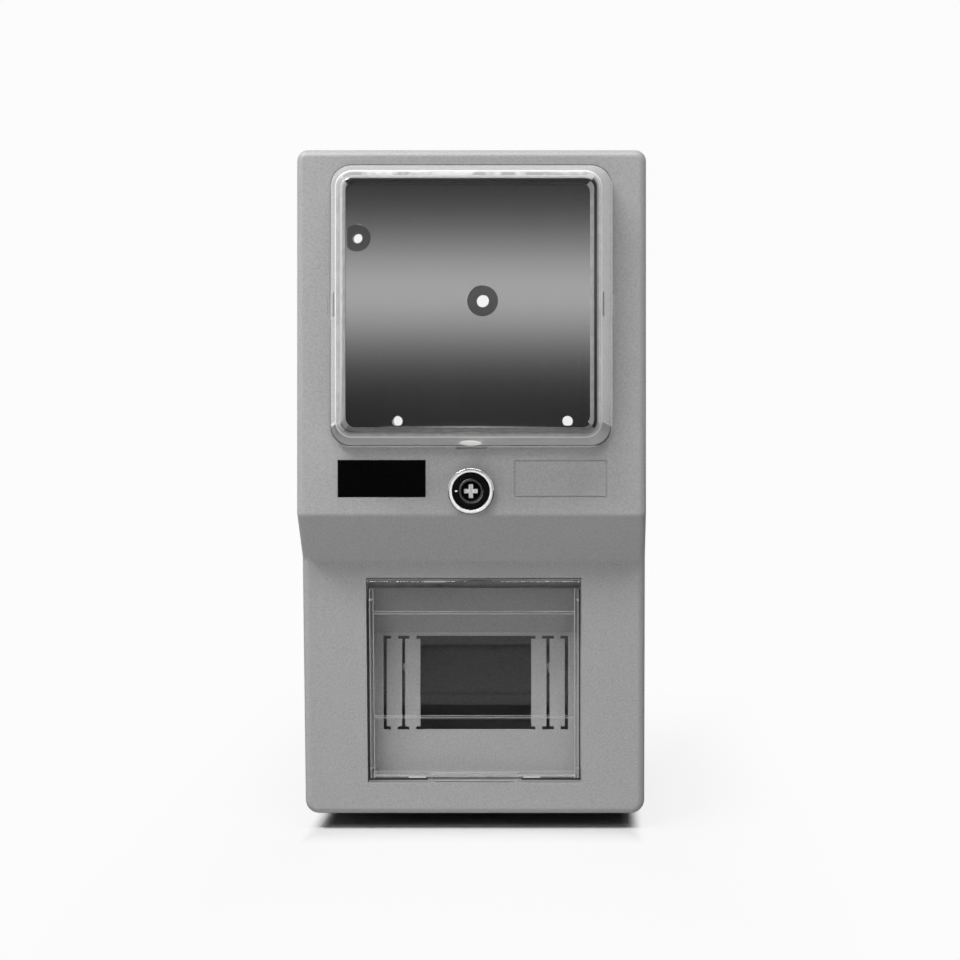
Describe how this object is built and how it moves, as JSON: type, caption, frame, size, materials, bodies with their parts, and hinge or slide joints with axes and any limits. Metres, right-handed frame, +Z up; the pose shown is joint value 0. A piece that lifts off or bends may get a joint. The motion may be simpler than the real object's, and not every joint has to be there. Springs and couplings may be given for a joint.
{
  "type": "electric meter box",
  "caption": "Wall box for an electricity meter: stepped grey moulded cover with a raised clear window, a cam lock and a hinged clear door over the breaker cut-out with break-off strips.",
  "frame": {"origin": "middle of the box's footprint, on the plane of its bottom", "axes": "+X to the viewer's right, +Y from the front to the wall, +Z up"},
  "size_m": [0.16, 0.126, 0.31],
  "materials": {
    "grey_moulding": "fine spark texture",
    "grey_moulding_base": "fine spark texture",
    "gasket_rubber": "matte",
    "clear_window": "clear moulded polycarbonate",
    "clear_door": "clear moulded polycarbonate",
    "black_label": "satin",
    "plate_steel": "bright rolled sheet",
    "rail_zinc": "zinc plated",
    "keeper_zinc": "zinc plated",
    "screw_zinc": "zinc plated",
    "lock_chrome": "polished",
    "plug_chrome": "polished",
    "guide_black": "satin",
    "nut_brass": "turned"
  },
  "bodies": {
    "base": {"back_base": "grey_moulding_base", "meter_plate": "plate_steel", "meter_plate_screw_1": "screw_zinc", "meter_plate_screw_2": "screw_zinc", "din_rail": "rail_zinc", "din_rail_screw_1": "screw_zinc", "din_rail_screw_2": "screw_zinc", "keeper_plate": "keeper_zinc", "keeper_screw_1": "screw_zinc", "keeper_screw_2": "screw_zinc"},
    "cover": {"front_cover": "grey_moulding", "cover_gasket": "gasket_rubber", "meter_window": "clear_window", "label_plate": "black_label", "lock_barrel": "lock_chrome", "lock_key_guide": "guide_black", "lock_nut": "nut_brass"},
    "lock": {"lock_plug": "plug_chrome", "lock_circlip": "screw_zinc", "lock_cam": "keeper_zinc", "cam_screw": "screw_zinc"},
    "door": {"breaker_door": "clear_door"}
  },
  "joints": [
    {"name": "cover_lift", "type": "slide", "parent": "base", "child": "cover", "axis": [0, -1, 0], "range_m": [0, 0.08]},
    {"name": "lock_turn", "type": "hinge", "parent": "cover", "child": "lock", "pos_m": [0, -0.043, 0.1539], "axis": [0, 1, 0], "range_deg": [0, 90]},
    {"name": "door_hinge", "type": "hinge", "parent": "cover", "child": "door", "pos_m": [0, -0.02109, 0.1094], "axis": [-1, 0, 0], "range_deg": [0, 100]}
  ]
}
